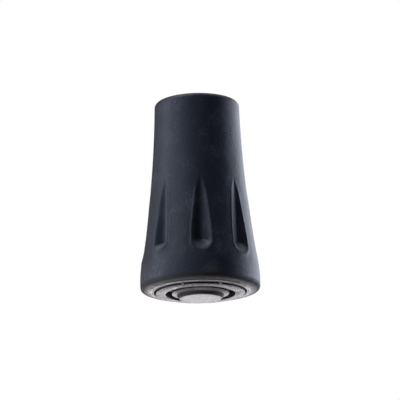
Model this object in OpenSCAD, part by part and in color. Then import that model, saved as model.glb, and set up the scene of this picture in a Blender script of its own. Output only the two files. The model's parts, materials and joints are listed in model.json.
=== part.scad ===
// Rubber tip for a trekking pole.
// One moulding in soft rubber: a bell-shaped body with tapered flutes round its flank, a crowned
// and ringed sole that grips hard ground, and a blind socket that is pushed over the pole's own
// steel tip. Millimetres, +Z up along the pole, origin on the ground in the middle of the sole.

/* [Body] */
// Overall height, from the ground to the rim of the socket
tip_h = 47.3; // [42:0.1:60]
// Diameter of the foot at its widest
foot_d = 28; // [23:0.1:34]
// Diameter of the neck at the rim of the socket
rim_d = 20; // [17:0.1:24]
// Height at which the foot is widest
foot_belly_z = 4; // [3:0.1:6]
// Radius of the round shoulder where the foot turns into the flare
shoulder_r = 25; // [15:0.5:40]
// Radius of the long hollow flare between the shoulder and the rim
flare_r = 267; // [180:1:400]
// Radius of the rim's round outer edge
rim_round = 1.1; // [0.5:0.1:2]
// Radius of the sole's round outer edge
sole_round = 0.9; // [0.5:0.1:1.2]

/* [Flutes] */
// Number of flutes round the flank
flute_count = 8; // [5:1:10]
// Turn of the first flute from the front, in degrees
flute_turn = 2; // [0:0.5:22]
// Height of the middle of a flute's ball-shaped lower end
flute_low_z = 10.9; // [10:0.1:16]
// Height of a flute's upper point
flute_high_z = 27; // [22:0.1:36]
// Depth of a flute at its lower end
flute_depth = 1.6; // [0.8:0.1:2.2]
// Radius of a flute's round floor at its lower end
flute_r = 2.4; // [1.8:0.1:3]

/* [Sole] */
// Radius of the sole's crown
crown_r = 67; // [50:1:120]
// Width of the outer land, from the foot's widest diameter inwards
land_w = 2.4; // [1.8:0.1:3]
// Step up from the outer land to the strip inside it
land_step = 0.2; // [0.1:0.05:0.4]
// Width of the strip
strip_w = 0.8; // [0.5:0.1:1.2]
// Height of the strip's inner edge above the crown
strip_lift = 0.1; // [0:0.05:0.3]
// Width of the outer groove
outer_groove_w = 0.35; // [0.25:0.05:0.6]
// Depth of the outer groove
outer_groove_depth = 1.2; // [0.6:0.1:2]
// Width of the ring between the grooves
ring_w = 2.35; // [1.8:0.05:2.9]
// Width of the ring's sloping outer flank
ring_flank_w = 1.1; // [0.5:0.1:1.5]
// Rise of the ring's flank to the outer groove, above the crown
ring_flank_h = 0.2; // [0.1:0.05:0.4]
// Width of the inner groove
inner_groove_w = 1.4; // [1:0.1:2]
// Depth of the inner groove
inner_groove_depth = 1.8; // [1:0.1:2.5]
// Width of the web of rubber across each groove
web_w = 0.55; // [0.4:0.05:0.8]

/* [Boss] */
// How far the boss in the middle stands below the crown
boss_proud = 0.5; // [0.3:0.1:1]
// Width of the sloping shelf round the boss
shelf_w = 1.15; // [0.8:0.05:1.4]
// Height of the shelf's outer edge above the ground
shelf_z = 1.2; // [1:0.1:1.5]
// Fall of the shelf from its outer edge to the boss's side
shelf_fall = 0.38; // [0.2:0.02:0.5]
// Width of the boss's steep side
boss_side_w = 0.5; // [0.3:0.1:0.8]
// Width of the boss's eased edge
boss_ease_w = 0.4; // [0.2:0.1:0.6]
// Height of the boss's eased edge
boss_ease_h = 0.15; // [0.1:0.05:0.3]

/* [Socket] */
// Bore of the socket, a push fit on the ferrule of the pole's tip
socket_d = 11.4; // [9:0.1:14]
// Depth of the socket, from the rim to its floor
socket_depth = 34; // [28:0.5:36]
// Size of the lead-in chamfer at the socket's mouth
lead_in = 0.8; // [0.4:0.1:1.5]
// Size of the eased corner round the socket's floor
floor_ease = 1; // [0.5:0.1:2]

/* [Hidden] */
$fn = 128;

arc_step = 1.5;       // length of one facet along the long curves
round_step = 11.25;   // angle of one facet round a small edge
edge_draft = 0.05;    // lean of the foot's side, from its widest down to its edge
flute_tip_r = 0.25;   // radius of a flute's cutter at the flute's upper point
flute_run_out = 1;    // how far the cutter passes on above that point
web_bite = 0.1;       // how far a web reaches into the walls of its groove
web_recess = 0.1;     // how far a web stays back from the lower edge of its groove

// Turns of the webs from the front, across the outer groove and across the inner groove
outer_web_turns = [24];
inner_web_turns = [-66, 66];

foot_r = foot_d / 2;
rim_r = rim_d / 2;
socket_r = socket_d / 2;
socket_floor_z = tip_h - socket_depth;

// Radii of the sole's lands and grooves, from the edge inwards
land_in = foot_r - land_w;
strip_in = land_in - strip_w;
ring_out = strip_in - outer_groove_w;
ring_in = ring_out - ring_w;
shelf_out = ring_in - inner_groove_w;
shelf_in = shelf_out - shelf_w;
boss_out = shelf_in - boss_side_w;

// Height of the crowned sole at a radius
function crown_z(r) = boss_proud + crown_r - sqrt(crown_r * crown_r - r * r);

outer_roof_z = crown_z(ring_out) + outer_groove_depth;
inner_roof_z = crown_z(shelf_out) + inner_groove_depth;

// The flank is two arcs that run into each other: the shoulder, round a centre inside the foot,
// and the hollow flare, round a centre far outside it, which ends at the rim.
edge_r = foot_r - edge_draft - sole_round;
edge_c = [edge_r, crown_z(edge_r) + sole_round];
rim_c = [rim_r - rim_round, tip_h - rim_round];
shoulder_c = [foot_r - shoulder_r, foot_belly_z];
flare_c = meeting(shoulder_c, shoulder_r + flare_r, rim_c + [rim_round, 0], flare_r);
join_angle = atan2(flare_c.y - shoulder_c.y, flare_c.x - shoulder_c.x);
join_z = shoulder_c.y + shoulder_r * sin(join_angle);
rim_angle = asin((flare_c.y - rim_c.y) / flare_r);

// The crossing of two circles that lies to the right, seen from one centre to the other
function meeting(a, ra, b, rb) =
    let (gap = norm(b - a),
         along = (ra * ra - rb * rb + gap * gap) / (2 * gap),
         ahead = (b - a) / gap)
    a + ahead * along + [ahead.y, -ahead.x] * sqrt(ra * ra - along * along);

// Radius of the flank at a height
function flank_r(z) = z < join_z
    ? shoulder_c.x + sqrt(shoulder_r * shoulder_r - pow(z - shoulder_c.y, 2))
    : flare_c.x - sqrt(flare_r * flare_r - pow(z - flare_c.y, 2));

// Points along an arc round a centre, from just past one angle to another
function arc(centre, r, from, to, steps) =
    [for (i = [1 : steps]) let (a = from + (to - from) * i / steps) centre + r * [cos(a), sin(a)]];

// Number of facets that a long arc takes
function facets(r, sweep) = ceil(PI * r * abs(sweep) / 180 / arc_step);

// Half section of the sole, from the axis out to the start of its round edge
function sole_section() = [
    [0, 0],
    [boss_out - boss_ease_w, 0],
    [boss_out, boss_ease_h],
    [shelf_in, shelf_z - shelf_fall],
    [shelf_out, shelf_z],
    [shelf_out, inner_roof_z],
    [ring_in, inner_roof_z],
    [ring_in, crown_z(ring_in)],
    [ring_out - ring_flank_w, crown_z(ring_out - ring_flank_w)],
    [ring_out, crown_z(ring_out) + ring_flank_h],
    [ring_out, outer_roof_z],
    [strip_in, outer_roof_z],
    [strip_in, crown_z(strip_in) + strip_lift],
    [land_in, crown_z(land_in) + land_step],
    [land_in, crown_z(land_in)],
    [edge_r, crown_z(edge_r)],
];

// Half section of the flank, from the sole's round edge up over the rim
function flank_section() = concat(
    arc(edge_c, sole_round, -90, 0, 90 / round_step),
    [[foot_r, foot_belly_z]],
    arc(shoulder_c, shoulder_r, 0, join_angle, facets(shoulder_r, join_angle)),
    arc(flare_c, flare_r, 180 + join_angle, 180 + rim_angle, facets(flare_r, join_angle - rim_angle)),
    arc(rim_c, rim_round, 0, 90, 90 / round_step)
);

// Half section of the socket, from its mouth down to the axis
function socket_section() = [
    [socket_r + lead_in, tip_h],
    [socket_r, tip_h - lead_in],
    [socket_r, socket_floor_z + floor_ease],
    [socket_r - floor_ease, socket_floor_z],
    [0, socket_floor_z],
];

// Turns what is built along +X to face a direction, counted from the front
module facing(turn) {
    rotate([0, 0, turn - 90]) children();
}

module bell() {
    rotate_extrude() polygon(concat(sole_section(), flank_section(), socket_section()));
}

// A long cone that leans with the flank and ends in a ball. Its narrow end passes out of the flank.
module flute_cutter() {
    low = [flank_r(flute_low_z) - flute_depth + flute_r, flute_low_z];
    high = [flank_r(flute_high_z) + flute_tip_r, flute_high_z];
    length = norm(high - low);
    taper = (flute_r - flute_tip_r) / length;
    translate([low.x, 0, low.y]) rotate([0, atan2(high.x - low.x, high.y - low.y), 0]) {
        cylinder(h = length + flute_run_out, r1 = flute_r, r2 = flute_tip_r - taper * flute_run_out);
        sphere(r = flute_r);
    }
}

// A small web across a groove, from the groove's roof down to just inside its edges
module web(inner_r, outer_r, edge_z, roof_z) {
    translate([inner_r - web_bite, -web_w / 2, edge_z + web_recess])
        cube([outer_r - inner_r + 2 * web_bite, web_w, roof_z + web_bite - edge_z - web_recess]);
}

module rubber_tip() {
    color([0.13, 0.14, 0.16]) union() {
        difference() {
            bell();
            for (i = [0 : flute_count - 1]) facing(flute_turn + 360 * i / flute_count) flute_cutter();
        }
        for (turn = outer_web_turns) facing(turn)
            web(ring_out, strip_in, crown_z(ring_out) + ring_flank_h, outer_roof_z);
        for (turn = inner_web_turns) facing(turn)
            web(shelf_out, ring_in, shelf_z, inner_roof_z);
    }
}

rubber_tip();
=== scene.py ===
"""Looks of a rubber tip for a trekking pole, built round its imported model.

The tip is one moulding in soft rubber. Its skin is turned from one half section, and a Geometry
Nodes tree then presses the flutes into the flank and forms the webs across the sole's grooves. The
script also makes a pale floor, soft lamps in a white surround, and a camera that looks up at the
tip from a little below the sole.
"""

import json
import logging
import math
from collections.abc import Mapping, Sequence
from dataclasses import asdict, dataclass
from enum import Enum

import bpy
import numpy as np
from mathutils import Matrix, Vector

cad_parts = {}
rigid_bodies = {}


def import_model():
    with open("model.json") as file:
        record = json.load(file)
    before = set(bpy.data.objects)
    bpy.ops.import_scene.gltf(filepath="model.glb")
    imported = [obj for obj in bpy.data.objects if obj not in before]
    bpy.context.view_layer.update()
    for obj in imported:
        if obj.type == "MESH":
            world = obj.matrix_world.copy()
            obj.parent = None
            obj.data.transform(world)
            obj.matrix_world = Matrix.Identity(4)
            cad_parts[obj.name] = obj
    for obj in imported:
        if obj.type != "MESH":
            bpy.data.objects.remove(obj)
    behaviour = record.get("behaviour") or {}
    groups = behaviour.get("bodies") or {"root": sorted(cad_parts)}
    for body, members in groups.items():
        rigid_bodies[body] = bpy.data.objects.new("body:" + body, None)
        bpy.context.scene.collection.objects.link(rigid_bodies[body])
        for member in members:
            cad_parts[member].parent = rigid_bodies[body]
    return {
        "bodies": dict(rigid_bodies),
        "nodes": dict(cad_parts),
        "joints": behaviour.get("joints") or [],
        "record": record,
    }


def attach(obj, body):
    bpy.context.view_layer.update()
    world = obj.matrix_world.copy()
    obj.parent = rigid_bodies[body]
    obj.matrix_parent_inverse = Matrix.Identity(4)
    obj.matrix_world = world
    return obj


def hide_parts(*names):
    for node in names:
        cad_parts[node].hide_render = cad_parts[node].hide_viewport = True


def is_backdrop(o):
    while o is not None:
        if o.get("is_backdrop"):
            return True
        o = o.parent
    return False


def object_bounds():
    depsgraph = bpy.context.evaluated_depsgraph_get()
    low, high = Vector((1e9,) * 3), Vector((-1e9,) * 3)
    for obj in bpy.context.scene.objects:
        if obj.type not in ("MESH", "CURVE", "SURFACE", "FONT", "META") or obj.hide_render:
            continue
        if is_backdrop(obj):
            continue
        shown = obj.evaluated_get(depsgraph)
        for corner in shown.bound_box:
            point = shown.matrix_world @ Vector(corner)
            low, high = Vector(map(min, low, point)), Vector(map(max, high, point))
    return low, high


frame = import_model()

log = logging.getLogger("rubber_tip")

MM = 0.001
LONGEST_EASE = 0.45  # share of a line's side that the rounding of one corner may take

Point = tuple[float, float]
Colour = tuple[float, float, float, float]
Signal = bpy.types.NodeSocket
Value = Signal | float | int | Sequence[float]
Sizes = float | np.ndarray


class Socket(Enum):
    """Kinds of socket that a node group can have."""

    NUMBER = "NodeSocketFloat"
    WHOLE = "NodeSocketInt"
    VECTOR = "NodeSocketVector"
    GEOMETRY = "NodeSocketGeometry"
    MATERIAL = "NodeSocketMaterial"


class Tree(Enum):
    """Kinds of tree that a node group can be made for, as the start of Blender's names."""

    GEOMETRY = "GeometryNode"
    SHADER = "ShaderNode"

    @property
    def kind(self) -> str:
        """Blender's name of such a tree."""
        return self.value + "Tree"

    @property
    def placer(self) -> str:
        """Blender's name of the node that places a group in such a tree."""
        return self.value + "Group"


# ---------------------------------------------------------------- lines of a half section


def spaced(start: float, stop: float, step: float) -> list[float]:
    """Even numbers from just past start up to stop.

    Args:
        start: Number that the row begins after.
        stop: Last number of the row.
        step: Longest step allowed.

    Returns:
        The numbers, with stop as the last.
    """
    count = max(1, math.ceil(abs(stop - start) / step))
    return [start + (stop - start) * i / count for i in range(1, count + 1)]


def arc(centre: Point, radius: float, start: float, stop: float, step: float) -> list[Point]:
    """Points along an arc, from just past its start to its stop.

    Args:
        centre: Centre of the arc.
        radius: Radius of the arc.
        start: Angle at which the arc begins, in degrees.
        stop: Angle at which it ends, in degrees.
        step: Largest angle between two points, in degrees.

    Returns:
        The points of the arc.
    """
    angles = [math.radians(a) for a in spaced(start, stop, step)]
    return [(centre[0] + radius * math.cos(a), centre[1] + radius * math.sin(a)) for a in angles]


def eased(points: Sequence[Point], radius: float, steps: int = 3) -> list[Point]:
    """Rounds every inner corner of a line.

    Args:
        points: Corners of the line.
        radius: Radius of the rounding, which is smaller where a side is too short for it.
        steps: Number of facets round a corner.

    Returns:
        The line's points, with each inner corner replaced by a small arc.
    """
    line = [np.array(p) for p in points]
    result = [points[0]]
    for before, corner, after in zip(line, line[1:], line[2:]):
        back, ahead = before - corner, after - corner
        room = LONGEST_EASE * min(np.linalg.norm(back), np.linalg.norm(ahead))
        u, v = back / np.linalg.norm(back), ahead / np.linalg.norm(ahead)
        half = math.acos(max(-1.0, min(1.0, float(u @ v)))) / 2
        reach = min(radius / math.tan(half), room)
        centre = corner + (u + v) / np.linalg.norm(u + v) * reach / math.cos(half)
        start, stop = corner + u * reach - centre, corner + v * reach - centre
        for i in range(steps + 1):
            spoke = start * (1 - i / steps) + stop * i / steps
            spoke *= np.linalg.norm(start) / np.linalg.norm(spoke)
            result.append(tuple(centre + spoke))
    return result + [points[-1]]


def turned(section: Sequence[Point], turns: np.ndarray) -> tuple[np.ndarray, list[list[int]]]:
    """Turns a half section that starts and ends on the axis into a closed skin.

    Args:
        section: The section's points, as (radius, height).
        turns: Turn of each of the skin's columns from the front, in radians.

    Returns:
        The skin's points, ring by ring and then the two on the axis, and its faces.
    """
    rings = np.array(section[1:-1])
    spokes = np.stack([np.sin(turns), -np.cos(turns)], axis=1)
    flat = rings[:, None, :1] * spokes[None]
    high = np.broadcast_to(rings[:, None, 1:], (*flat.shape[:2], 1))
    points = np.concatenate([flat, high], axis=2).reshape(-1, 3)
    points = np.vstack([points, [0, 0, section[0][1]], [0, 0, section[-1][1]]])
    count = len(turns)
    here = np.arange(count)
    beside = (here + 1) % count
    faces: list[list[int]] = []
    for below in range(0, (len(rings) - 1) * count, count):
        above = below + count
        faces += np.stack([below + here, below + beside, above + beside, above + here], axis=1).tolist()
    last = (len(rings) - 1) * count
    first_pole, last_pole = np.full(count, len(points) - 2), np.full(count, len(points) - 1)
    faces += np.stack([first_pole, beside, here], axis=1).tolist()
    faces += np.stack([last_pole, last + here, last + beside], axis=1).tolist()
    return points, faces


# ---------------------------------------------------------------- sizes of the moulding


@dataclass(frozen=True)
class Bell:
    """Sizes of the bell-shaped body and its socket, in metres."""

    height: float
    foot_radius: float
    socket_radius: float
    socket_floor: float
    rim_radius: float = 10 * MM
    belly_height: float = 4 * MM
    foot_draft: float = 0.05 * MM
    shoulder_radius: float = 25 * MM
    flare_radius: float = 267 * MM
    rim_round: float = 1.1 * MM
    sole_round: float = 0.6 * MM
    lead_in: float = 0.8 * MM
    floor_ease: float = 1 * MM
    socket_round: float = 0.3 * MM

    @classmethod
    def from_frame(cls, packed: Mapping) -> "Bell":
        """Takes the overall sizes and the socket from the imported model.


        Returns:
            The bell's sizes.
        """
        low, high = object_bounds()
        bore = next(m for m in packed["record"]["mounts"] if m["name"] == "pole_socket")
        return cls(
            height=high.z - low.z,
            foot_radius=min(high.x, high.y, -low.x, -low.y),
            socket_radius=bore["dims"]["r_mm"] * MM,
            socket_floor=bore["pos_m"][2] - bore["dims"]["length_mm"] * MM / 2 - cls.floor_ease,
        )

    @property
    def shoulder(self) -> Point:
        """Centre of the round shoulder, inside the foot."""
        return self.foot_radius - self.shoulder_radius, self.belly_height

    @property
    def rim(self) -> Point:
        """Centre of the rim's round outer edge."""
        return self.rim_radius - self.rim_round, self.height - self.rim_round

    @property
    def flare(self) -> Point:
        """Centre of the long hollow flare, far outside the tip.

        Returns:
            The point from which the flare both runs into the shoulder and meets the rim's round.
        """
        near, far = self.shoulder_radius + self.flare_radius, self.flare_radius
        start, end = np.array(self.shoulder), np.array([self.rim_radius, self.rim[1]])
        gap = float(np.linalg.norm(end - start))
        ahead = (end - start) / gap
        along = (near**2 - far**2 + gap**2) / (2 * gap)
        side = np.array([ahead[1], -ahead[0]]) * math.sqrt(near**2 - along**2)
        return tuple(start + ahead * along + side)

    @property
    def join_angle(self) -> float:
        """Angle round the shoulder at which it runs into the flare, in degrees."""
        shoulder, flare = self.shoulder, self.flare
        return math.degrees(math.atan2(flare[1] - shoulder[1], flare[0] - shoulder[0]))

    def flank(self, height: float) -> float:
        """Radius of the flank at a height.

        Args:
            height: Height above the ground, between the sole's round edge and the rim's.

        Returns:
            The radius, in the foot, on the shoulder or on the flare.
        """
        join = self.shoulder[1] + self.shoulder_radius * math.sin(math.radians(self.join_angle))
        if height < self.belly_height:
            return self.foot_radius - self.foot_draft * (1 - height / self.belly_height)
        if height < join:
            rise = height - self.shoulder[1]
            return self.shoulder[0] + math.sqrt(self.shoulder_radius**2 - rise**2)
        rise = height - self.flare[1]
        return self.flare[0] - math.sqrt(self.flare_radius**2 - rise**2)

    def socket(self, rim_top: Point) -> list[Point]:
        """Half section of the socket.

        Args:
            rim_top: Last point of the rim, on the tip's flat top.

        Returns:
            The points from the mouth down the wall to the middle of the floor.
        """
        wall, floor = self.socket_radius, self.socket_floor
        corners = [
            (wall + self.lead_in, self.height),
            (wall, self.height - self.lead_in),
            (wall, floor + self.floor_ease),
            (wall - self.floor_ease, floor),
        ]
        return [*eased([rim_top, *corners, (wall / 2, floor)], self.socket_round)[1:], (0.0, floor)]


@dataclass(frozen=True)
class Sole:
    """Sizes of the crowned sole, its rings, boss and webs, in metres and degrees.

    Heights are above the ground. Wear depends on worn_from and worn_full, which say how squarely a
    face looks down, from 0 for a wall to 1 for a flat.
    """

    crown_radius: float = 67 * MM
    boss_proud: float = 0.5 * MM
    land_width: float = 2.4 * MM
    land_rise: float = 0.26 * MM
    land_step: float = 0.14 * MM
    strip_width: float = 0.8 * MM
    strip_height: float = 1.62 * MM
    strip_fall: float = 0.07 * MM
    outer_groove_width: float = 0.35 * MM
    outer_groove_depth: float = 1.2 * MM
    ring_width: float = 2.35 * MM
    ring_height: float = 1.29 * MM
    ring_flank_width: float = 1.1 * MM
    ring_flank_fall: float = 0.12 * MM
    ring_crest_fall: float = 0.07 * MM
    inner_groove_width: float = 1.4 * MM
    inner_groove_depth: float = 1.8 * MM
    shelf_width: float = 1.15 * MM
    shelf_height: float = 1.2 * MM
    shelf_fall: float = 0.38 * MM
    boss_side_width: float = 0.5 * MM
    boss_wall_height: float = 0.46 * MM
    boss_ease_width: float = 0.3 * MM
    corner_round: float = 0.1 * MM
    outer_web_turn: float = 26.5
    inner_web_turn: float = 66
    pip_turn: float = -22.5
    pip_width: float = 0.3 * MM
    web_overlap: float = 0.02 * MM
    worn_height: float = 2.04 * MM
    worn_depth: float = 0.5 * MM
    worn_step: float = 0.12 * MM
    worn_from: float = 0.85
    worn_full: float = 0.93

    def crown(self, radius: Sizes) -> Sizes:
        """Height of the crowned sole at a radius."""
        return self.boss_proud + self.crown_radius - np.sqrt(self.crown_radius**2 - radius**2)

    def radii(self, foot_radius: float) -> dict[str, float]:
        """Radii of the sole's lands and grooves.

        Args:
            foot_radius: Radius of the foot at its widest.

        Returns:
            Each radius by name, from the outer land's inner edge to the boss.
        """
        steps = {
            "land": self.land_width,
            "strip": self.strip_width,
            "ring_out": self.outer_groove_width,
            "ring_in": self.ring_width,
            "shelf_out": self.inner_groove_width,
            "shelf_in": self.shelf_width,
            "boss": self.boss_side_width,
        }
        return dict(zip(steps, foot_radius - np.cumsum(list(steps.values()))))

    def wear(self, section: np.ndarray, foot_radius: float) -> np.ndarray:
        """Says how worn each point of a half section is: it faces the ground, or is the land's step.

        Args:
            section: The section's points, as rows of radius and height, from the axis outwards.
            foot_radius: Radius of the foot at its widest.

        Returns:
            The wear of each point, from 0 to 1.
        """
        ahead = np.diff(section, axis=0)
        ahead /= np.linalg.norm(ahead, axis=1, keepdims=True)
        down = (np.append(ahead[:, 0], -1.0) + np.insert(ahead[:, 0], 0, 1.0)) / 2
        squarely = np.clip((down - self.worn_from) / (self.worn_full - self.worn_from), 0.0, 1.0)
        step = np.abs(section[:, 0] - self.radii(foot_radius)["land"]) < self.worn_step
        reach = np.minimum(self.crown(section[:, 0]) + self.worn_depth, self.worn_height)
        return np.where(step, 1.0, squarely) * (section[:, 1] < reach)

    def section(self, foot_radius: float, edge: float) -> list[Point]:
        """Half section of the sole, from the axis out to where the foot's round edge begins.

        Args:
            foot_radius: Radius of the foot at its widest.
            edge: Radius at which the foot's round edge begins.

        Returns:
            The section's points, as (radius, height), with its corners eased.
        """
        r = self.radii(foot_radius)
        inner_roof = self.crown(r["shelf_out"]) + self.inner_groove_depth
        outer_roof = self.crown(r["ring_out"]) + self.outer_groove_depth
        crest = self.ring_height - self.ring_flank_fall
        boss_ease_height = self.boss_wall_height / 3
        boss_wall_lean = self.boss_side_width / 5
        step_lean = self.land_step / 3
        corners = [
            (r["boss"] / 2, 0.0),
            (r["boss"] - self.boss_ease_width, 0.0),
            (r["boss"], boss_ease_height),
            (r["boss"] + boss_wall_lean, self.boss_wall_height),
            (r["shelf_in"], self.shelf_height - self.shelf_fall),
            (r["shelf_out"], self.shelf_height),
            (r["shelf_out"], inner_roof),
            (r["ring_in"], inner_roof),
            (r["ring_in"], crest - self.ring_crest_fall),
            (r["ring_out"] - self.ring_flank_width, crest),
            (r["ring_out"], self.ring_height),
            (r["ring_out"], outer_roof),
            (r["strip"], outer_roof),
            (r["strip"], self.strip_height - self.strip_fall),
            (r["land"], self.strip_height),
            (r["land"] + step_lean, self.strip_height + self.land_step),
            (edge, self.crown(edge) + self.land_rise),
        ]
        return eased(corners, self.corner_round)

    def webs(self, foot_radius: float) -> list["Web"]:
        """Places the webs across the two grooves.

        Args:
            foot_radius: Radius of the foot at its widest.

        Returns:
            One web and one small pip in the outer groove, and two webs in the inner one.
        """
        r, lap = self.radii(foot_radius), self.web_overlap
        outer = (r["ring_out"] - lap, r["strip"] + lap, self.ring_height)
        inner = (r["shelf_out"] - lap, r["ring_in"] + lap, self.shelf_height + self.corner_round)
        return [
            Web(self.outer_web_turn, *outer),
            Web(self.pip_turn, *outer, width=self.pip_width),
            Web(-self.inner_web_turn, *inner),
            Web(self.inner_web_turn, *inner),
        ]


@dataclass(frozen=True)
class Web:
    """A small web of rubber across a groove of the sole, in metres and degrees."""

    turn: float
    inner: float
    outer: float
    level: float
    width: float = 0.55 * MM
    draft: float = 0.12 * MM
    worn_drop: float = 0.12 * MM
    wear: float = 1.0

    def edges(self) -> list[float]:
        """Turns from the front at which the web's sides begin, run half down and end.

        Returns:
            The turns in degrees, three on each side.
        """
        half = math.degrees(self.width / (self.inner + self.outer))
        side = math.degrees(2 * self.draft / (self.inner + self.outer))
        return [self.turn + s * (half + d) for s in (-1, 1) for d in (0.0, side / 2, side)]


@dataclass(frozen=True)
class Flutes:
    """Sizes of the flutes pressed into the flank, in metres and degrees.

    Each field's name is also that of an input of the pressing tree.
    """

    count: int = 8
    turn: float = 2.6
    crease_height: float = 11.4 * MM
    point_height: float = 26.9 * MM
    depth: float = 1.65 * MM
    half_width: float = 2.1 * MM
    end_length: float = 2.2 * MM
    taper: float = 0.6
    lip_round: float = 0.9 * MM
    bead_width: float = 0.75 * MM
    bead_height: float = 0.09 * MM

    @property
    def pitch(self) -> float:
        """Angle from one flute to the next, in degrees."""
        return 360 / self.count

    def inputs(self) -> dict[str, float | int]:
        """Returns each size by the name of its input, with the turn in radians."""
        sizes = {name.replace("_", " ").title(): size for name, size in asdict(self).items()}
        return {**sizes, "Turn": math.radians(self.turn)}


@dataclass(frozen=True)
class Fineness:
    """Longest steps of the skin's mesh, in metres and degrees, and how far the fine ones reach."""

    flute_turn: float = 0.72
    plain_turn: float = 2.4
    flute_reach: float = 16.5
    web_clearance: float = 0.15
    arc_turn: float = 10
    foot_step: float = 0.6 * MM
    shoulder_step: float = 0.5 * MM
    crease_step: float = 0.15 * MM
    crease_reach: float = 0.6 * MM
    flute_step: float = 0.4 * MM
    point_reach: float = 1 * MM
    neck_step: float = 1.2 * MM


# ---------------------------------------------------------------- node trees


class Wiring:
    """Adds nodes to a tree and links them up, one short call a node."""

    def __init__(self, tree: bpy.types.NodeTree) -> None:
        """Keeps the tree that the calls add to."""
        self.tree = tree

    def add(
        self, kind: str, values: Mapping[str | int, Value] | None = None, **settings: object
    ) -> bpy.types.Node:
        """Adds a node.

        Args:
            kind: Blender's name of the node type.
            values: Value or source of each input, by the input's name or place.
            **settings: Properties of the node itself.

        Returns:
            The new node.
        """
        node = self.tree.nodes.new(kind)
        for name, setting in settings.items():
            setattr(node, name, setting)
        for key, value in (values or {}).items():
            self.feed(node.inputs[key], value)
        return node

    def feed(self, socket: Signal, value: Value) -> None:
        """Links a socket to its source, or sets its constant.

        Args:
            socket: The input.
            value: Its source or its constant.
        """
        if isinstance(value, Signal):
            self.tree.links.new(value, socket)
        else:
            socket.default_value = value

    def math(self, operation: str, *values: Value) -> Signal:
        """Adds a Math node and returns its result."""
        return self.add("ShaderNodeMath", dict(enumerate(values)), operation=operation).outputs[0]

    def vector(self, operation: str, *values: Value) -> Signal:
        """Adds a Vector Math node and returns its vector."""
        return self.add("ShaderNodeVectorMath", dict(enumerate(values)), operation=operation).outputs[0]

    def length(self, vector: Value) -> Signal:
        """Returns a vector's length."""
        return self.add("ShaderNodeVectorMath", {0: vector}, operation="LENGTH").outputs["Value"]

    def split(self, vector: Value) -> tuple[Signal, ...]:
        """Returns a vector's three parts."""
        return tuple(self.add("ShaderNodeSeparateXYZ", {0: vector}).outputs)

    def joined(self, x: Value, y: Value, z: Value) -> Signal:
        """Returns a vector made of three parts."""
        return self.add("ShaderNodeCombineXYZ", {0: x, 1: y, 2: z}).outputs[0]

    def step(self, value: Value, low: Value, high: Value) -> Signal:
        """Returns a smooth rise from 0 at low to 1 at high."""
        values = {"Value": value, "From Min": low, "From Max": high}
        return self.add("ShaderNodeMapRange", values, interpolation_type="SMOOTHSTEP").outputs[0]

    def blend(self, share: Value, first: Value, second: Value) -> Signal:
        """Returns a mix of two colours, which a Mix node takes at its places 6 and 7."""
        return self.add("ShaderNodeMix", {0: share, 6: first, 7: second}, data_type="RGBA").outputs[2]

    def noise(self, vector: Value, size: Value, detail: float = 2.0, roughness: float = 0.5) -> Signal:
        """Returns noise whose blotches are about as wide as a size in metres."""
        values = {"Vector": vector, "Scale": self.math("DIVIDE", 1.0, size), "Detail": detail}
        return self.add("ShaderNodeTexNoise", {**values, "Roughness": roughness}).outputs[0]

    def place(self, tree: Tree, group: bpy.types.NodeTree, values: Mapping[str, Value]) -> Signal:
        """Places a node group with its own values.

        Args:
            tree: Kind of tree that the group goes into.
            group: The group.
            values: Value or source of each of its inputs, by name.

        Returns:
            The group's first output.
        """
        node = self.tree.nodes.new(tree.placer)
        node.node_tree = group
        for key, value in values.items():
            self.feed(node.inputs[key], value)
        return node.outputs[0]


class Group(Wiring):
    """A node group under construction, with its own named inputs and outputs."""

    def __init__(
        self, name: str, tree: Tree, inputs: Mapping[str, Socket], outputs: Mapping[str, Socket]
    ) -> None:
        """Makes an empty group.

        Args:
            name: Name of the group.
            tree: Kind of tree that it is.
            inputs: Kind of each input, by name.
            outputs: Kind of each output, by name.
        """
        super().__init__(bpy.data.node_groups.new(name, tree.kind))
        for way, sockets in (("INPUT", inputs), ("OUTPUT", outputs)):
            for socket, kind in sockets.items():
                self.tree.interface.new_socket(name=socket, in_out=way, socket_type=kind.value)
        self.given = self.add("NodeGroupInput").outputs
        self.exit = self.add("NodeGroupOutput").inputs

    def give(self, **results: Value) -> bpy.types.NodeTree:
        """Feeds the group's outputs.

        Args:
            **results: What each output gives, by its name.

        Returns:
            The finished tree.
        """
        for name, value in results.items():
            self.feed(self.exit[name], value)
        return self.tree

    def turn_and_radius(self) -> tuple[Signal, ...]:
        """Adds nodes that read where a point lies, in a geometry tree.

        Returns:
            The point's turn from the front in radians, its distance from the axis, and its height.
        """
        x, y, z = self.split(self.add("GeometryNodeInputPosition").outputs[0])
        radius = self.length(self.joined(x, y, 0.0))
        return self.math("ARCTAN2", x, self.math("MULTIPLY", y, -1.0)), radius, z


def numbers(*names: str) -> dict[str, Socket]:
    """Returns a plain number socket for each name."""
    return {name: Socket.NUMBER for name in names}


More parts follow.
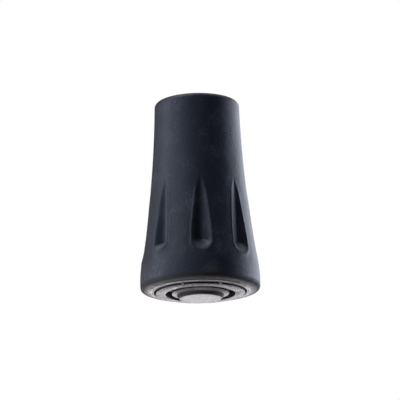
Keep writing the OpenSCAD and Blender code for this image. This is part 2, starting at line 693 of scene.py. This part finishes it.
def flute_group(names: Sequence[str]) -> bpy.types.NodeTree:
    """Makes the group that says how far the flutes cut into the flank at a point.

    A flute is a round-bottomed groove that narrows and thins out upwards to a point. Its lower end
    breaks at a crease and ramps out to the flank. A faint bead runs round its softly rounded lip,
    where the depth is below nothing.

    Args:
        names: Names of the group's inputs, as Flutes gives them.

    Returns:
        The node group.
    """
    least_share = 0.01  # keeps the width above nothing past the point
    widest, levelling = 1.08, 0.1  # the width would pass its full value, and is levelled off there
    bead_rise = 0.4  # share of the bead's width in which it rises, and in which it falls
    bead_start, bead_full = 0.02, 0.3  # shares of the flute's length at which the bead fades in
    inputs = {**numbers(*names), "Count": Socket.WHOLE}
    group = Group("Flute Depth", Tree.GEOMETRY, inputs, numbers("Depth"))
    given, calc = group.given, group.math
    turn, radius, height = group.turn_and_radius()

    # share of the way from the flute's point down to its crease, and the width there
    length = calc("SUBTRACT", given["Point Height"], given["Crease Height"])
    share = calc("DIVIDE", calc("SUBTRACT", given["Point Height"], height), length)
    full = calc("MINIMUM", calc("MAXIMUM", share, least_share), 1.0)
    spread = calc("MULTIPLY", calc("POWER", full, given["Taper"]), widest)
    spread = calc("SMOOTH_MIN", spread, 1.0, levelling)

    # distance across the nearest flute, in half widths, and how far below its crease
    half_pitch = calc("DIVIDE", math.pi, given["Count"])
    off = calc("SUBTRACT", turn, given["Turn"])
    off = calc("WRAP", off, half_pitch, calc("MULTIPLY", half_pitch, -1.0))
    across = calc("DIVIDE", calc("MULTIPLY", off, radius), given["Half Width"])
    across = calc("DIVIDE", across, spread)
    below = calc("MAXIMUM", calc("SUBTRACT", given["Crease Height"], height), 0.0)
    below = calc("DIVIDE", below, given["End Length"])

    # the groove's round bottom, as a share of its full depth
    bowl = calc("MULTIPLY", calc("MULTIPLY", across, across), full)
    bowl = calc("DIVIDE", bowl, calc("ADD", below, 1.0))
    cut = calc("SUBTRACT", calc("MINIMUM", share, 1.0), calc("ADD", bowl, below))

    # distance outside the lip, from how fast the bowl's parabola rises past it
    stretch = calc("SQRT", calc("MAXIMUM", calc("SUBTRACT", 1.0, calc("DIVIDE", cut, full)), 0.0))
    half_width = calc("MULTIPLY", given["Half Width"], spread)
    outside = calc("MULTIPLY", half_width, calc("SUBTRACT", stretch, 1.0))
    outside = calc("DIVIDE", outside, given["Bead Width"])
    bead = calc("MULTIPLY", group.step(outside, 0.0, bead_rise), group.step(outside, 1.0, bead_rise))
    bead = calc("MULTIPLY", bead, group.step(share, bead_start, bead_full))
    bead = calc("MULTIPLY", bead, given["Bead Height"])

    lip = calc("MULTIPLY", given["Lip Round"], full)
    depth = calc("SMOOTH_MAX", calc("MULTIPLY", cut, given["Depth"]), 0.0, lip)
    return group.give(Depth=calc("SUBTRACT", depth, bead))


def web_group() -> bpy.types.NodeTree:
    """Makes the group that says how far a groove's roof comes down at a point, to form a web.

    Returns:
        The node group.
    """
    share_of_drop = 0.96  # a web stays just short of its level, so that no faces meet there
    sizes = ["Turn", "Inner Radius", "Outer Radius", "Level", "Width", "Draft", "Reach"]
    group = Group("Web Drop", Tree.GEOMETRY, numbers(*sizes), numbers("Drop"))
    given, calc = group.given, group.math
    turn, radius, height = group.turn_and_radius()
    off = calc("WRAP", calc("SUBTRACT", turn, given["Turn"]), math.pi, -math.pi)
    across = calc("ABSOLUTE", calc("MULTIPLY", off, radius))
    half = calc("MULTIPLY", given["Width"], 0.5)
    inside = group.step(across, calc("ADD", half, given["Draft"]), half)
    inside = calc("MULTIPLY", inside, calc("GREATER_THAN", radius, given["Inner Radius"]))
    inside = calc("MULTIPLY", inside, calc("LESS_THAN", radius, given["Outer Radius"]))
    inside = calc("MULTIPLY", inside, calc("LESS_THAN", height, given["Reach"]))
    above = calc("MAXIMUM", calc("SUBTRACT", height, given["Level"]), 0.0)
    return group.give(Drop=calc("MULTIPLY", above, calc("MULTIPLY", inside, share_of_drop)))


class Pressing:
    """The Geometry Nodes tree that presses the flutes and webs into the turned skin."""

    def __init__(self, flutes: Flutes, webs: Sequence[Web], skin_radius: float, sole_top: float) -> None:
        """Builds the tree.

        Args:
            flutes: Sizes of the flutes, which become the tree's inputs.
            webs: The webs across the sole's grooves.
            skin_radius: Radius that parts the outer skin from the socket.
            sole_top: Height above which nothing belongs to the sole.
        """
        self.flutes = flutes.inputs()
        self.skin_radius = skin_radius
        inputs = {"Geometry": Socket.GEOMETRY, **numbers(*self.flutes, "Skin Radius")}
        inputs |= {"Count": Socket.WHOLE, "Rubber": Socket.MATERIAL}
        self.group = Group("Pressed Moulding", Tree.GEOMETRY, inputs, {"Geometry": Socket.GEOMETRY})
        shape = self.flutes_into(self.group.given["Geometry"])
        shape = self.webs_into(shape, webs, sole_top)
        shape = self.group.add("GeometryNodeRealizeInstances", {0: shape}).outputs[0]
        values = {"Geometry": shape, "Material": self.group.given["Rubber"]}
        self.group.give(Geometry=self.group.add("GeometryNodeSetMaterial", values).outputs[0])

    def flutes_into(self, shape: Signal) -> Signal:
        """Adds the nodes that press the flutes inwards.

        Args:
            shape: The turned skin.

        Returns:
            The skin with its flutes.
        """
        group, given = self.group, self.group.given
        sizes = {name: given[name] for name in self.flutes}
        depth = group.place(Tree.GEOMETRY, flute_group(list(self.flutes)), sizes)
        turn, radius, _ = group.turn_and_radius()
        inwards = [group.math("MULTIPLY", group.math("SINE", turn), -1.0), group.math("COSINE", turn)]
        offset = group.vector("MULTIPLY", group.joined(*inwards, 0.0), group.joined(depth, depth, depth))
        skin = group.math("GREATER_THAN", radius, given["Skin Radius"])
        values = {"Geometry": shape, "Selection": skin, "Offset": offset}
        return group.add("GeometryNodeSetPosition", values).outputs[0]

    def webs_into(self, shape: Signal, webs: Sequence[Web], sole_top: float) -> Signal:
        """Adds the nodes that bring the grooves' roofs down into webs, and wear them.

        Args:
            shape: The skin.
            webs: The webs.
            sole_top: Height above which nothing belongs to the sole.

        Returns:
            The skin with its webs.
        """
        drop, group = web_group(), self.group
        for web in webs:
            values = {
                "Turn": math.radians(web.turn),
                "Inner Radius": web.inner,
                "Outer Radius": web.outer,
                "Level": web.level,
                "Width": web.width,
                "Draft": web.draft,
                "Reach": sole_top,
            }
            fall = group.place(Tree.GEOMETRY, drop, values)
            lowered = group.math("GREATER_THAN", fall, web.worn_drop)
            values = {"Geometry": shape, "Selection": lowered, "Name": "wear", "Value": web.wear}
            shape = group.add("GeometryNodeStoreNamedAttribute", values).outputs[0]
            offset = group.joined(0.0, 0.0, group.math("MULTIPLY", fall, -1.0))
            shape = group.add("GeometryNodeSetPosition", {"Geometry": shape, "Offset": offset}).outputs[0]
        return shape

    def apply(self, blank: bpy.types.Object, rubber: bpy.types.Material) -> bpy.types.Object:
        """Presses a turned skin.

        Args:
            blank: The turned skin.
            rubber: Material of the moulding.

        Returns:
            The same object, with the pressed shape as its plain mesh.
        """
        modifier = blank.modifiers.new("pressing", "NODES")
        modifier.node_group = self.group.tree
        items = self.group.tree.interface.items_tree
        sockets = {item.name: item.identifier for item in items if item.in_out == "INPUT"}
        for name, value in {**self.flutes, "Skin Radius": self.skin_radius, "Rubber": rubber}.items():
            modifier[sockets[name]] = value
        graph = bpy.context.evaluated_depsgraph_get()
        pressed = bpy.data.meshes.new_from_object(
            blank.evaluated_get(graph), preserve_all_data_layers=True, depsgraph=graph
        )
        blank.modifiers.remove(modifier)
        turned_mesh, blank.data = blank.data, pressed
        pressed.name = turned_mesh.name
        bpy.data.meshes.remove(turned_mesh)
        return blank


# ---------------------------------------------------------------- finishes


@dataclass(frozen=True)
class Speckle:
    """A pattern of small specks in loose patches: sizes in metres, and how much they cover."""

    size: float
    patch_size: float
    cover: float


@dataclass(frozen=True)
class Ring:
    """A ring round the axis, in metres, and the strength of what lies on it."""

    inner: float
    outer: float
    strength: float = 1.0


def speckle_group() -> bpy.types.NodeTree:
    """Makes the group for small pale specks that gather in loose patches.

    Returns:
        The node group.
    """
    mean_noise, patch_strength = 0.5, 0.8
    bare_level, cover_range, edge = 0.72, 0.3, 0.14  # a speck starts lower the more they cover
    inputs = {"Vector": Socket.VECTOR, **numbers("Size", "Patch Size", "Cover")}
    group = Group("Specks", Tree.SHADER, inputs, numbers("Mask"))
    given, calc = group.given, group.math
    fine = group.noise(given["Vector"], given["Size"], detail=3.0, roughness=0.65)
    patches = group.noise(given["Vector"], given["Patch Size"], detail=2.0)
    level = calc("ADD", fine, calc("MULTIPLY", calc("SUBTRACT", patches, mean_noise), patch_strength))
    low = calc("SUBTRACT", bare_level, calc("MULTIPLY", given["Cover"], cover_range))
    return group.give(Mask=group.step(level, low, calc("ADD", low, edge)))


def band_group() -> bpy.types.NodeTree:
    """Makes the group for a soft-edged ring between two radii from the axis.

    Returns:
        The node group.
    """
    inputs = {"Vector": Socket.VECTOR, **numbers("Inner", "Outer", "Softness")}
    group = Group("Ring Band", Tree.SHADER, inputs, numbers("Mask"))
    given, calc = group.given, group.math
    x, y, _ = group.split(given["Vector"])
    radius = calc("SQRT", calc("ADD", calc("MULTIPLY", x, x), calc("MULTIPLY", y, y)))
    inside = group.step(radius, calc("SUBTRACT", given["Inner"], given["Softness"]), given["Inner"])
    outside = group.step(radius, calc("ADD", given["Outer"], given["Softness"]), given["Outer"])
    return group.give(Mask=calc("MULTIPLY", inside, outside))


def grain_group() -> bpy.types.NodeTree:
    """Makes the group for the fine grain that a spark-eroded mould leaves on rubber.

    Returns:
        The node group.
    """
    inputs = {"Vector": Socket.VECTOR, **numbers("Size", "Wave Size", "Waviness")}
    group = Group("Moulded Grain", Tree.SHADER, inputs, numbers("Height"))
    given = group.given
    fine = group.noise(given["Vector"], given["Size"], detail=2.0, roughness=0.6)
    slow = group.noise(given["Vector"], given["Wave Size"], detail=1.0)
    return group.give(Height=group.math("MULTIPLY_ADD", slow, given["Waviness"], fine))


class Skin(Wiring):
    """Wiring of the rubber's material, with short calls for the patterns that it uses."""

    def __init__(self, material: bpy.types.Material) -> None:
        """Empties the material's tree and makes the pattern groups.

        Args:
            material: The material.
        """
        material.use_nodes = True
        material.node_tree.nodes.clear()
        super().__init__(material.node_tree)
        self.where = self.add("ShaderNodeTexCoord").outputs["Object"]
        self.height = self.split(self.where)[2]
        self.speckle, self.band, self.grain = speckle_group(), band_group(), grain_group()

    def specks(self, pattern: Speckle) -> Signal:
        """Returns the mask of a pattern of specks."""
        values = {"Size": pattern.size, "Patch Size": pattern.patch_size, "Cover": pattern.cover}
        return self.place(Tree.SHADER, self.speckle, {"Vector": self.where, **values})

    def rings(self, rings: Sequence[Ring], softness: float) -> Value:
        """Adds up soft-edged rings.

        Args:
            rings: The rings.
            softness: Width of the soft edge on either side of each, in metres.

        Returns:
            The sum of their strengths at a point.
        """
        total: Value = 0.0
        for ring in rings:
            values = {"Vector": self.where, "Inner": ring.inner, "Outer": ring.outer, "Softness": softness}
            mask = self.place(Tree.SHADER, self.band, values)
            total = self.math("MULTIPLY_ADD", mask, ring.strength, total)
        return total


@dataclass(frozen=True)
class Masks:
    """Where each mark lies on the rubber, as shares from 0 to 1."""

    bloom: Signal
    specks: Signal
    rub: Signal
    tread: Signal
    calm: Value
    worn: Signal
    # dust on the boss and shelf, and painted highlights along the groove edges and on the webs
    dust: Signal
    # painted shade that darkens the grooves, except on worn faces
    shade: Signal


@dataclass(frozen=True)
class RubberFinish:
    """Finish of the moulded rubber: colours are linear, sizes and heights are in metres.

    Pale bloom and a patch of specks lie on the plain skin. The lowest part of the foot is rubbed
    clean. The faces that touch the ground are scuffed smoother, and the boss and shelf hold dust.
    Thin pale rings along the groove edges and on the webs are painted highlights, and the grooves
    are painted dark as shade.
    """

    body: Colour = (0.018, 0.022, 0.034, 1.0)
    bloom: Colour = (0.062, 0.070, 0.094, 1.0)
    specks: Colour = (0.09, 0.12, 0.17, 1.0)
    rubbed: Colour = (0.012, 0.0115, 0.013, 1.0)
    scuffed: Colour = (0.04, 0.039, 0.041, 1.0)
    # pale colour for dust on the boss and shelf, and for painted highlights along the groove edges and
    # webs
    dusted: Colour = (0.60, 0.57, 0.57, 1.0)
    # painted shade: near-black colour laid in the grooves as their shadow
    groove: Colour = (0.002, 0.002, 0.003, 1.0)

    bloom_pattern: Speckle = Speckle(size=0.35 * MM, patch_size=5 * MM, cover=0.5)
    bloom_strength: float = 0.6
    speck_pattern: Speckle = Speckle(size=0.24 * MM, patch_size=1.2 * MM, cover=0.75)
    speck_strength: float = 0.6
    speck_centre: tuple[float, float, float] = (-10.4 * MM, -9.3 * MM, 3.8 * MM)
    speck_reach: float = 3.2 * MM
    speck_core: float = 1.2 * MM

    rub_top: float = 3.4 * MM
    rub_full: float = 2.7 * MM
    groove_top: float = 4.5 * MM
    groove_full: float = 4.0 * MM
    groove_softness: float = 0.03 * MM

    wear_pattern: Speckle = Speckle(size=0.22 * MM, patch_size=1.6 * MM, cover=1.0)
    wear_curve: float = 0.6
    patchiness: float = 0.5
    boss_patchiness: float = 0.1

    dust: float = 0.2
    shelf_dust: float = 0.08
    # painted highlights: strengths of the thin pale rings along the ring's inner edge and the land's step,
    # and over the strip's inner edge and the outer groove's webs
    edge_highlight: float = 0.95
    edge_width: float = 0.12 * MM
    step_half_width: float = 0.1 * MM
    strip_highlight: float = 0.7
    strip_gap: float = 0.05 * MM
    dust_softness: float = 0.08 * MM

    shine: float = 0.4
    roughness: float = 0.42
    scuffed_roughness: float = 0.2
    bloom_roughness: float = 0.12
    rub_roughness: float = 0.22

    grain_size: float = 0.36 * MM
    wave_size: float = 2.4 * MM
    waviness: float = 1.0
    grain_depth: float = 0.07 * MM
    boss_smoothing: float = 0.65

    def material(self, name: str, radii: Mapping[str, float]) -> bpy.types.Material:
        """Makes the material.

        Args:
            name: Name of the material.
            radii: Radii of the sole's lands and grooves, by name.

        Returns:
            The material.
        """
        material = bpy.data.materials.new(name)
        skin = Skin(material)
        masks = self.masks(skin, radii)
        values = {
            "Base Color": self.colour(skin, masks),
            "Roughness": self.gloss(skin, masks),
            "Specular IOR Level": self.shine,
            "Normal": self.relief(skin, masks),
        }
        shader = skin.add("ShaderNodeBsdfPrincipled", values)
        skin.add("ShaderNodeOutputMaterial", {"Surface": shader.outputs[0]})
        return material

    def masks(self, skin: Skin, radii: Mapping[str, float]) -> Masks:
        """Finds where each mark lies.

        Args:
            skin: Wiring of the material.
            radii: Radii of the sole's lands and grooves, by name.

        Returns:
            The masks.
        """
        reach = skin.length(skin.vector("SUBTRACT", skin.where, self.speck_centre))
        patch = skin.step(reach, self.speck_reach, self.speck_core)
        tread = skin.add("ShaderNodeAttribute", attribute_name="wear").outputs["Fac"]
        tread = skin.math("POWER", tread, self.wear_curve)
        calm = skin.rings([Ring(0.0, radii["boss"] / 2)], radii["boss"] / 2)
        patchy = skin.math("MULTIPLY_ADD", calm, self.boss_patchiness - self.patchiness, self.patchiness)
        bare = skin.math("SUBTRACT", skin.specks(self.wear_pattern), 1.0)
        worn = skin.math("MULTIPLY", tread, skin.math("MULTIPLY_ADD", bare, patchy, 1.0))
        # dust on the boss and shelf, and painted highlights along the groove edges and webs
        dust_and_highlight_share = skin.rings(self.dust_and_highlight_rings(radii), self.dust_softness)
        # painted shade: the two grooves are darkened as shade, except on worn faces, and only low on the
        # sole
        grooves = [Ring(radii["shelf_out"], radii["ring_in"]), Ring(radii["ring_out"], radii["strip"])]
        shade = skin.rings(grooves, self.groove_softness)
        shade = skin.math("MULTIPLY", shade, skin.math("SUBTRACT", 1.0, tread))
        shade = skin.math("MULTIPLY", shade, skin.step(skin.height, self.groove_top, self.groove_full))
        return Masks(
            bloom=skin.specks(self.bloom_pattern),
            specks=skin.math("MULTIPLY", skin.specks(self.speck_pattern), patch),
            rub=skin.step(skin.height, self.rub_top, self.rub_full),
            tread=tread,
            calm=calm,
            worn=worn,
            dust=skin.math("MULTIPLY", dust_and_highlight_share, worn),
            shade=shade,
        )

    def dust_and_highlight_rings(self, radii: Mapping[str, float]) -> list[Ring]:
        """Lists where dust gathers on the sole, and where thin painted highlights run along the groove
        edges.

        Args:
            radii: Radii of the sole's lands and grooves, by name.

        Returns:
            The boss with its shelf, where dust lies; the ring's inner edge and the land's step, which are
            painted highlights; the shelf again, which holds a little more dust; and the strip's inner edge
            with the outer groove's webs, which are painted highlights too.
        """
        land, half = radii["land"], self.step_half_width
        return [
            Ring(0.0, radii["shelf_out"], self.dust),
            Ring(radii["ring_in"], radii["ring_in"] + self.edge_width, self.edge_highlight),
            Ring(land - half, land + half, self.edge_highlight),
            Ring(radii["boss"], radii["shelf_out"], self.shelf_dust),
            Ring(radii["ring_out"] + self.strip_gap, radii["strip"], self.strip_highlight),
        ]

    def colour(self, skin: Skin, masks: Masks) -> Value:
        """Lays each mark's colour over the last.

        Args:
            skin: Wiring of the material.
            masks: Where the marks lie.

        Returns:
            The colour at a point.
        """
        colour: Value = self.body
        for share, mark in (
            (skin.math("MULTIPLY", masks.bloom, self.bloom_strength), self.bloom),
            (skin.math("MULTIPLY", masks.specks, self.speck_strength), self.specks),
            (masks.rub, self.rubbed),
            (masks.worn, self.scuffed),
            # dust, and painted highlights along the groove edges and webs
            (masks.dust, self.dusted),
            # painted shade in the grooves, laid over everything else
            (masks.shade, self.groove),
        ):
            colour = skin.blend(share, colour, mark)
        return colour

    def gloss(self, skin: Skin, masks: Masks) -> Signal:
        """Works out the roughness, which falls where the rubber is scuffed smooth.

        Args:
            skin: Wiring of the material.
            masks: Where the marks lie.

        Returns:
            The roughness at a point.
        """
        change = self.scuffed_roughness - self.roughness
        rough = skin.math("MULTIPLY_ADD", masks.worn, change, self.roughness)
        rough = skin.math("MULTIPLY_ADD", masks.bloom, self.bloom_roughness, rough)
        rubbed = skin.math("MULTIPLY", masks.rub, skin.math("SUBTRACT", 1.0, masks.tread))
        return skin.math("MULTIPLY_ADD", rubbed, self.rub_roughness, rough)

    def relief(self, skin: Skin, masks: Masks) -> Signal:
        """Makes the moulded grain, which is worn smoother in the middle of the boss.

        Args:
            skin: Wiring of the material.
            masks: Where the marks lie.

        Returns:
            The grain's normal.
        """
        values = {"Size": self.grain_size, "Wave Size": self.wave_size, "Waviness": self.waviness}
        height = skin.place(Tree.SHADER, skin.grain, {"Vector": skin.where, **values})
        kept = skin.math("MULTIPLY_ADD", masks.calm, -self.boss_smoothing, 1.0)
        height = skin.math("MULTIPLY", height, kept)
        values = {"Strength": 1.0, "Distance": self.grain_depth, "Height": height}
        return skin.add("ShaderNodeBump", values).outputs[0]


# ---------------------------------------------------------------- the moulding


@dataclass(frozen=True)
class RubberTip:
    """The one moulding: bell-shaped body, fluted flank, ringed sole and blind socket."""

    bell: Bell
    sole: Sole = Sole()
    flutes: Flutes = Flutes()
    finish: RubberFinish = RubberFinish()
    fineness: Fineness = Fineness()

    @property
    def webs(self) -> list[Web]:
        """The webs across the sole's grooves."""
        return self.sole.webs(self.bell.foot_radius)

    def turns(self) -> list[float]:
        """Places the skin's columns, which lie fine across each flute and along each web's sides.

        Returns:
            The columns' turns from the front, in degrees.
        """
        fine, reach, pitch = self.fineness, self.fineness.flute_reach, self.flutes.pitch
        across = spaced(-reach, reach, fine.flute_turn)
        between = spaced(reach, pitch - reach, fine.plain_turn)
        starts = [self.flutes.turn + i * pitch for i in range(self.flutes.count)]
        columns = [start + turn for start in starts for turn in (*across, *between)]
        for web in self.webs:
            edges = web.edges()
            columns = [c for c in columns if min(turn_apart(c, e) for e in edges) > fine.web_clearance]
            columns += edges
        return sorted(c % 360 for c in columns)

    def section(self) -> list[Point]:
        """Draws the half section of the whole skin.

        Returns:
            The points from the middle of the sole round the outside to the middle of the socket's floor.
        """
        bell, fine = self.bell, self.fineness
        edge = bell.foot_radius - bell.sole_round - bell.foot_draft
        line = [(0.0, 0.0), *self.sole.section(bell.foot_radius, edge)]
        land = np.subtract(line[-1], line[-2])
        lean = math.degrees(math.atan2(land[1], land[0]))
        centre = (edge, line[-1][1] + bell.sole_round)
        line += arc(centre, bell.sole_round, lean - 90, 0, fine.arc_turn)
        line += [(bell.flank(height), height) for height in self.rows(line[-1][1])]
        line += arc(bell.rim, bell.rim_round, 0, 90, fine.arc_turn)
        return line + bell.socket(line[-1])

    def rows(self, start: float) -> list[float]:
        """Places the flank's rows, which lie close round the flutes' creases.

        Args:
            start: Height at which the sole's round edge ends.

        Returns:
            The rows' heights, from just above the start up to the rim's round edge.
        """
        flutes, fine = self.flutes, self.fineness
        stops = [
            (self.bell.belly_height, fine.foot_step),
            (flutes.crease_height - flutes.end_length - fine.crease_reach, fine.shoulder_step),
            (flutes.crease_height + fine.crease_reach, fine.crease_step),
            (flutes.point_height + fine.point_reach, fine.flute_step),
            (self.bell.rim[1], fine.neck_step),
        ]
        heights = [start]
        for stop, step in stops:
            heights += spaced(heights[-1], stop, step)
        return heights[1:]

    def blank(self, name: str) -> bpy.types.Object:
        """Turns the half section into a closed skin that knows where it is worn.

        Args:
            name: Name of the object.

        Returns:
            The object, at the origin.
        """
        section, turns = self.section(), np.radians(self.turns())
        points, faces = turned(section, turns)
        mesh = bpy.data.meshes.new(name)
        mesh.from_pydata(points.tolist(), [], faces)
        mesh.shade_smooth()
        rings = self.sole.wear(np.array(section[1:-1]), self.bell.foot_radius)
        wear = [*np.repeat(rings, len(turns)), 1.0, 0.0]
        mesh.attributes.new("wear", "FLOAT", "POINT").data.foreach_set("value", wear)
        skin = bpy.data.objects.new(name, mesh)
        bpy.context.scene.collection.objects.link(skin)
        return skin

    def build(self) -> bpy.types.Object:
        """Builds the moulding, and hands it to the frame.

        Returns:
            The finished object.
        """
        rubber = self.finish.material("moulded_rubber", self.sole.radii(self.bell.foot_radius))
        skin_radius = (self.bell.socket_radius + self.bell.rim_radius) / 2
        pressing = Pressing(self.flutes, self.webs, skin_radius, self.bell.belly_height)
        tip = pressing.apply(self.blank("moulded_tip"), rubber)
        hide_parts("rubber_tip")
        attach(tip, "root")
        log.info("%s: %d faces", tip.name, len(tip.data.polygons))
        return tip


def turn_apart(first: float, second: float) -> float:
    """Returns the angle between two turns, in degrees, the shorter way round."""
    return abs((first - second + 180) % 360 - 180)


# ---------------------------------------------------------------- studio


class Tint(Enum):
    """Colours of the lamps' light."""

    WHITE = (1.0, 0.955, 0.985)
    PALE = (0.91, 0.94, 1.0)
    COOL = (0.81, 0.86, 1.0)
    BLUE = (0.66, 0.75, 1.0)
    WARM = (1.0, 0.88, 0.80)


@dataclass(frozen=True)
class Lamp:
    """A soft rectangular lamp that faces the tip, in metres, degrees and watts."""

    name: str
    azimuth: float
    elevation: float
    width: float
    height: float
    power: float
    tint: Tint
    distance: float = 0.6

    def build(self, target: Vector) -> bpy.types.Object:
        """Makes the lamp.

        Args:
            target: Point that the lamp faces.

        Returns:
            The lamp.
        """
        light = bpy.data.lights.new(self.name, "AREA")
        light.shape = "RECTANGLE"
        light.size, light.size_y = self.width, self.height
        light.energy = self.power
        light.color = self.tint.value
        lamp = bpy.data.objects.new(self.name, light)
        turn, rise = math.radians(self.azimuth), math.radians(self.elevation)
        out = Vector((math.sin(turn) * math.cos(rise), -math.cos(turn) * math.cos(rise), math.sin(rise)))
        lamp.location = target + out * self.distance
        lamp.rotation_euler = out.to_track_quat("Z", "Y").to_euler()
        lamp.visible_camera = False
        bpy.context.scene.collection.objects.link(lamp)
        return lamp


@dataclass(frozen=True)
class Viewpoint:
    """Where the camera stands and looks, in metres and degrees, and its lens in millimetres."""

    stands_at: tuple[float, float, float] = (0.0, -682.3 * MM, -156.3 * MM)
    looks_at: tuple[float, float, float] = (0.32 * MM, 0.0, 23.78 * MM)
    roll: float = -1.15
    lens: float = 270.7
    nearest: float = 0.01
    farthest: float = 20.0

    def build(self) -> bpy.types.Object:
        """Makes the camera and sets it as the scene's.

        Returns:
            The camera.
        """
        data = bpy.data.cameras.new("camera")
        data.lens = self.lens
        data.clip_start, data.clip_end = self.nearest, self.farthest
        camera = bpy.data.objects.new("camera", data)
        stand, look = Vector(self.stands_at), Vector(self.looks_at)
        aim = (look - stand).to_track_quat("-Z", "Y").to_matrix().to_4x4()
        roll = Matrix.Rotation(math.radians(self.roll), 4, "Z")
        camera.matrix_world = Matrix.Translation(stand) @ aim @ roll
        bpy.context.scene.collection.objects.link(camera)
        bpy.context.scene.camera = camera
        return camera


@dataclass(frozen=True)
class Floor:
    """A pale round floor that fades into the surround, in metres.

    It shows from above only, so that it never hides or darkens the sole.
    """

    radius: float = 0.35
    sides: int = 96
    fade_start: float = 0.08
    fade_end: float = 0.34
    paint: Colour = (0.85, 0.81, 0.75, 1.0)
    roughness: float = 0.6

    def build(self) -> bpy.types.Object:
        """Makes the floor, and marks it as no part of the object.

        Returns:
            The floor.
        """
        bpy.ops.mesh.primitive_circle_add(vertices=self.sides, radius=self.radius, fill_type="NGON")
        floor = bpy.context.object
        floor.name = "floor"
        floor.data.materials.append(self.material("pale_floor"))
        floor.visible_diffuse = False
        floor.visible_glossy = False
        floor.visible_shadow = False
        floor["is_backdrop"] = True
        return floor

    def material(self, name: str) -> bpy.types.Material:
        """Makes the floor's paint, which is clear from below and clears outwards.

        Args:
            name: Name of the material.

        Returns:
            The material.
        """
        material = bpy.data.materials.new(name)
        material.use_nodes = True
        material.node_tree.nodes.clear()
        nodes = Wiring(material.node_tree)
        back = nodes.add("ShaderNodeNewGeometry").outputs["Backfacing"]
        distance = nodes.length(nodes.add("ShaderNodeTexCoord").outputs["Object"])
        clear_share = nodes.math("MAXIMUM", back, nodes.step(distance, self.fade_start, self.fade_end))
        values = {"Base Color": self.paint, "Roughness": self.roughness}
        paint = nodes.add("ShaderNodeBsdfPrincipled", values)
        clear = nodes.add("ShaderNodeBsdfTransparent")
        mix = nodes.add("ShaderNodeMixShader", {0: clear_share, 1: paint.outputs[0], 2: clear.outputs[0]})
        nodes.add("ShaderNodeOutputMaterial", {"Surface": mix.outputs[0]})
        return material


@dataclass(frozen=True)
class Surround:
    """The world round the tip: plain white to the eye, and nearly dark as a light."""

    seen: Colour = (1.0, 1.0, 1.0, 1.0)
    light: Colour = (0.01, 0.01, 0.012, 1.0)

    def build(self) -> bpy.types.World:
        """Makes the surround and sets it as the scene's.

        Returns:
            The world.
        """
        world = bpy.data.worlds.new("surround")
        bpy.context.scene.world = world
        world.use_nodes = True
        world.node_tree.nodes.clear()
        nodes = Wiring(world.node_tree)
        eye = nodes.add("ShaderNodeLightPath").outputs["Is Camera Ray"]
        light = nodes.add("ShaderNodeBackground", {"Color": self.light})
        white = nodes.add("ShaderNodeBackground", {"Color": self.seen})
        mix = nodes.add("ShaderNodeMixShader", {0: eye, 1: light.outputs[0], 2: white.outputs[0]})
        nodes.add("ShaderNodeOutputWorld", {"Surface": mix.outputs[0]})
        return world


@dataclass(frozen=True)
class Studio:
    """Floor, lamps and white surround. A lamp's azimuth is 0 at the front and 90 at the right."""

    floor: Floor = Floor()
    surround: Surround = Surround()
    lamps: tuple[Lamp, ...] = (
        Lamp("window_left", -88, 5, 0.4, 0.6, 1.95, Tint.COOL),
        Lamp("window_low", -82, -36, 0.4, 0.25, 1.6, Tint.PALE),
        Lamp("front_left", -48, 20, 0.25, 0.5, 0.5, Tint.BLUE),
        Lamp("front", 0, 0, 0.4, 0.4, 0.23, Tint.BLUE),
        Lamp("overhead", 0, 86, 0.5, 0.5, 0.65, Tint.COOL),
        Lamp("top_left", -70, 60, 0.4, 0.35, 1.65, Tint.PALE),
        Lamp("top_right", 115, 60, 0.4, 0.35, 0.65, Tint.COOL),
        Lamp("right_side", 98, 5, 0.2, 0.5, 0.85, Tint.BLUE),
        Lamp("right_back", 120, 0, 0.25, 0.5, 1.85, Tint.COOL),
        Lamp("back", 148, 12, 0.3, 0.5, 1.4, Tint.COOL),
        Lamp("left_back", -130, -5, 0.3, 0.5, 0.45, Tint.WARM),
        Lamp("sweep_top", 180, -7, 0.6, 0.08, 0.39, Tint.WHITE),
        Lamp("sweep_middle", 180, -14, 0.6, 0.08, 0.12, Tint.PALE),
        Lamp("sweep_low", 180, -21, 0.6, 0.08, 0.54, Tint.WHITE),
        Lamp("sweep_foot", 180, -36, 0.6, 0.1, 0.06, Tint.COOL),
        Lamp("floor_deep", 180, -75, 0.5, 0.2, 0.65, Tint.WHITE),
        Lamp("front_low", 0, -60, 0.5, 0.3, 0.4, Tint.WARM),
        Lamp("under", 0, -88, 0.5, 0.5, 0.15, Tint.WARM),
    )

    def build(self) -> None:
        """Makes everything in the studio."""
        low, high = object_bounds()
        middle = (low + high) / 2
        for lamp in self.lamps:
            lamp.build(middle)
        self.floor.build()
        self.surround.build()
        bpy.context.scene.view_settings.view_transform = "Standard"
        log.info("studio: %d lamps, a floor and a surround", len(self.lamps))


def main() -> None:
    """Builds the camera, the tip and the studio."""
    logging.basicConfig(level=logging.INFO, format="%(name)s: %(message)s")
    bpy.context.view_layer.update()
    Viewpoint().build()
    RubberTip(Bell.from_frame(frame)).build()
    Studio().build()


if __name__ == "__main__":
    main()
